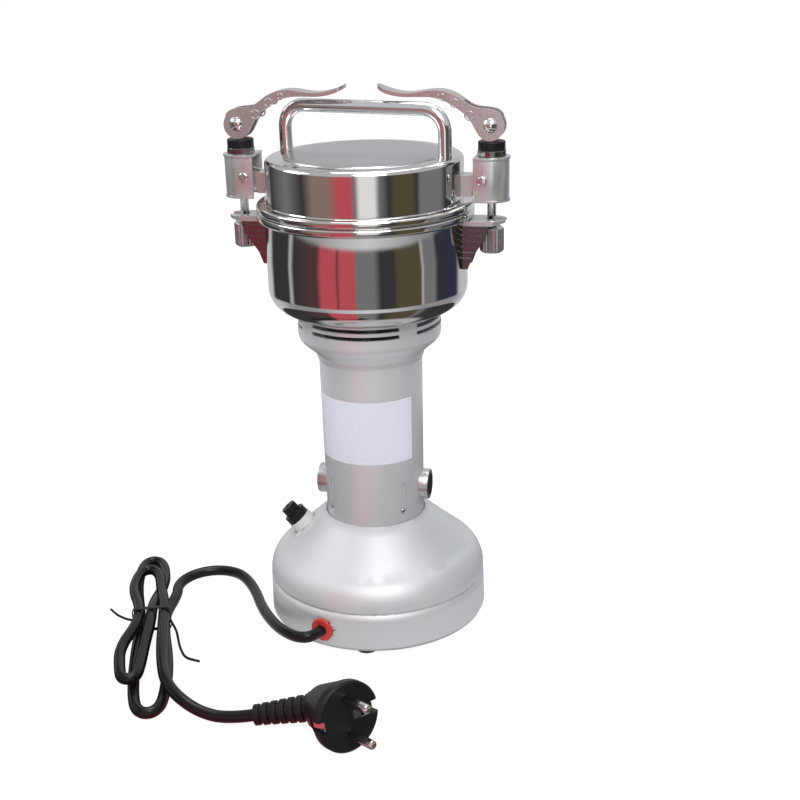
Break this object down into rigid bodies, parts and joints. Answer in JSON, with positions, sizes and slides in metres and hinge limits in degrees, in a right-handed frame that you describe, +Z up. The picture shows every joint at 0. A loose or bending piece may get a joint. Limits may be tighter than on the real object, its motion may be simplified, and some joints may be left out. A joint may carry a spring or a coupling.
{
  "type": "electric grain mill",
  "caption": "Upright electric grain mill: domed base, slim vented motor column, steel bowl with bladed shaft, and a lid held by two cam-lever clamps; cord in a tied hank.",
  "frame": {"origin": "on the surface under the feet, on the axis of the motor and the bowl", "axes": "+Z up along the motor shaft; +X towards the right-hand clamp; -Y towards the side with the cord outlet"},
  "size_m": [0.2471, 0.2349, 0.3136],
  "materials": {
    "silver_paint": "satin",
    "polished_steel": "mirror polished",
    "bright_chrome": "polished",
    "zinc_steel": "satin",
    "blade_steel": "ground",
    "core_steel": "laminated",
    "cast_bell": "as cast",
    "copper_wire": "enamelled",
    "commutator_copper": "turned",
    "brass": "satin",
    "carbon": "matte",
    "black_plastic": "satin",
    "grey_plastic": "satin",
    "red_plastic": "gloss",
    "black_rubber": "matte",
    "seal_rubber": "matte",
    "cord_black": "gloss",
    "fuse_glass": "clear",
    "pin_nickel": "polished"
  },
  "bodies": {
    "base": {"base_shell": "silver_paint", "fuse_holder": "grey_plastic", "switch_frame": "black_plastic", "base_plate": "zinc_steel", "feet": "black_rubber", "base_screws": "zinc_steel", "cord_grommet": "red_plastic", "motor_column": "silver_paint", "lower_end_bell": "cast_bell", "upper_end_bell": "cast_bell", "motor_bearings": "zinc_steel", "stator_core": "core_steel", "field_coils": "copper_wire", "brush_holders": "brass", "carbon_brushes": "carbon", "brush_springs": "zinc_steel", "brush_caps": "black_plastic", "bowl_screws": "zinc_steel", "bowl": "polished_steel", "shaft_seal": "seal_rubber", "lid_seal": "seal_rubber", "handle": "bright_chrome", "lid": "polished_steel", "fork_plates": "polished_steel", "fork_brackets": "polished_steel", "lid_lugs": "polished_steel", "swing_rivets": "bright_chrome", "column_screws": "zinc_steel", "cord_lead": "cord_black", "cord_hank": "cord_black", "cord_tail": "cord_black", "cord_tie": "cord_black", "plug_strain_relief": "black_plastic", "plug_body": "black_plastic", "plug_pins": "pin_nickel", "plug_earth_clips": "pin_nickel"},
    "rotor": {"rotor_shaft": "blade_steel", "armature_core": "core_steel", "armature_windings": "copper_wire", "commutator": "commutator_copper", "cooling_fan": "cast_bell", "lower_blade": "blade_steel", "blade_spacer": "blade_steel", "upper_blade": "blade_steel", "blade_nut": "blade_steel"},
    "fuse_carrier": {"fuse_cap": "black_plastic", "fuse": "fuse_glass"},
    "rocker": {"switch_rocker": "black_plastic"},
    "clamp_right": {"clamp_box_right": "polished_steel", "clamp_pad_right": "black_plastic"},
    "rod_right": {"clamp_rod_right": "bright_chrome"},
    "lever_right": {"clamp_lever_right": "bright_chrome", "lever_pin_right": "bright_chrome"},
    "nut_right": {"clamp_nut_right": "zinc_steel"},
    "clamp_left": {"clamp_box_left": "polished_steel", "clamp_pad_left": "black_plastic"},
    "rod_left": {"clamp_rod_left": "bright_chrome"},
    "lever_left": {"clamp_lever_left": "bright_chrome", "lever_pin_left": "bright_chrome"},
    "nut_left": {"clamp_nut_left": "zinc_steel"}
  },
  "joints": [
    {"name": "rotor_spin", "type": "hinge", "parent": "base", "child": "rotor", "pos_m": [0, 0, 0.2], "axis": [0, 0, 1], "continuous": true},
    {"name": "rocker_tip", "type": "hinge", "parent": "base", "child": "rocker", "pos_m": [0, 0.04866, 0.05048], "axis": [0, -0.7515, 0.6598], "range_deg": [0, 16]},
    {"name": "fuse_twist", "type": "hinge", "parent": "base", "child": "fuse_carrier", "pos_m": [-0.04284, -0.00755, 0.05367], "axis": [-0.6497, -0.1146, 0.7515], "range_deg": [0, 90]},
    {"name": "swing_right", "type": "hinge", "parent": "base", "child": "clamp_right", "pos_m": [0.0666, 0, 0.264], "axis": [0, -1, 0], "range_deg": [0, 28]},
    {"name": "rod_drop_right", "type": "slide", "parent": "clamp_right", "child": "rod_right", "axis": [0, 0, -1], "range_m": [0, 0.001]},
    {"name": "lever_lift_right", "type": "hinge", "parent": "rod_right", "child": "lever_right", "pos_m": [0.0705, 0, 0.2925], "axis": [0, 1, 0], "range_deg": [0, 120]},
    {"name": "nut_turn_right", "type": "hinge", "parent": "rod_right", "child": "nut_right", "pos_m": [0.0705, 0, 0.2305], "axis": [0, 0, 1], "continuous": true},
    {"name": "swing_left", "type": "hinge", "parent": "base", "child": "clamp_left", "pos_m": [-0.0666, 0, 0.264], "axis": [0, 1, 0], "range_deg": [0, 28]},
    {"name": "rod_drop_left", "type": "slide", "parent": "clamp_left", "child": "rod_left", "axis": [0, 0, -1], "range_m": [0, 0.001]},
    {"name": "lever_lift_left", "type": "hinge", "parent": "rod_left", "child": "lever_left", "pos_m": [-0.0705, 0, 0.2925], "axis": [0, -1, 0], "range_deg": [0, 120]},
    {"name": "nut_turn_left", "type": "hinge", "parent": "rod_left", "child": "nut_left", "pos_m": [-0.0705, 0, 0.2305], "axis": [0, 0, 1], "continuous": true}
  ],
  "couplings": [
    {"joint": "swing_right", "follows": "rod_drop_right", "rad_per_m": 488},
    {"joint": "lever_lift_right", "follows": "rod_drop_right", "rad_per_m": 2094},
    {"joint": "swing_left", "follows": "rod_drop_left", "rad_per_m": 488},
    {"joint": "lever_lift_left", "follows": "rod_drop_left", "rad_per_m": 2094}
  ]
}
